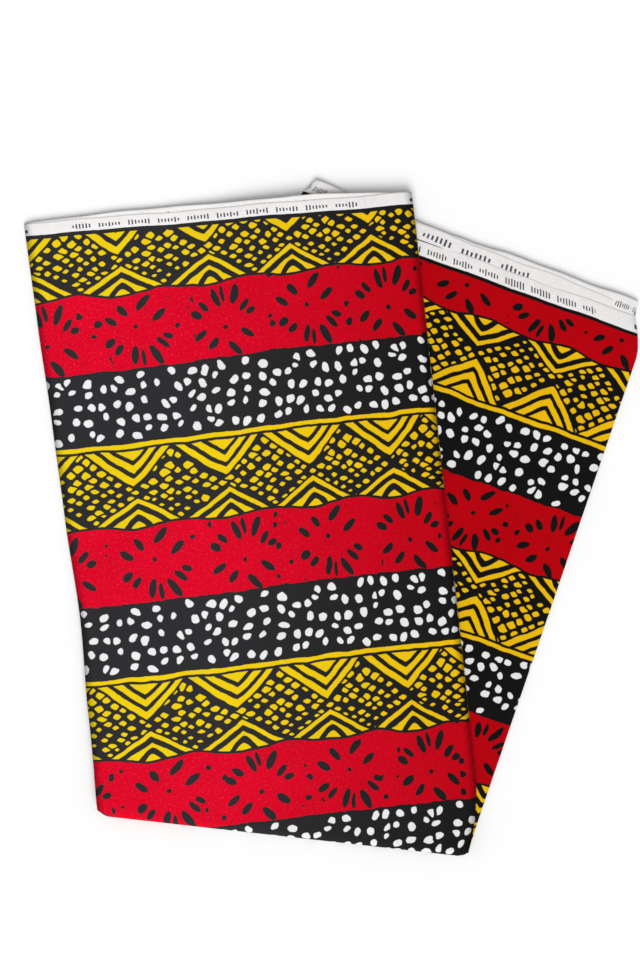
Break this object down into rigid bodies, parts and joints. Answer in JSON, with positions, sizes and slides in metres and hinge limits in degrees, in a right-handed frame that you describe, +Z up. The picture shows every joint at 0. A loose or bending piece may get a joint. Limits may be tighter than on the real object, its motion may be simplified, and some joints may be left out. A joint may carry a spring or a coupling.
{
  "type": "folded cotton fabric",
  "caption": "Length of wax-printed cotton cloth, lapped into a strip, folded once across on a slant and laid flat, with banded print, bare selvedges and two wings that fan out from the fold",
  "frame": {"origin": "centre of the bounding box in plan, on the surface the cloth lies on", "axes": "+Z up, +Y from the folded end towards the selvedges, +X to the right, towards the back wing"},
  "size_m": [0.5834, 0.64, 0.0148],
  "materials": {
    "printed_cotton": "matt plain-weave cotton, printed red, yellow, black and white",
    "selvedge_cotton": "matt plain-weave cotton, unprinted off-white"
  },
  "bodies": {
    "root": {"front_panel": "printed_cotton", "front_second_layer": "selvedge_cotton", "front_inner_layers": "printed_cotton", "back_panel": "printed_cotton", "back_second_layer": "selvedge_cotton", "back_third_layer": "selvedge_cotton", "back_inner_layers": "printed_cotton", "under_panel": "printed_cotton"}
  },
  "joints": []
}
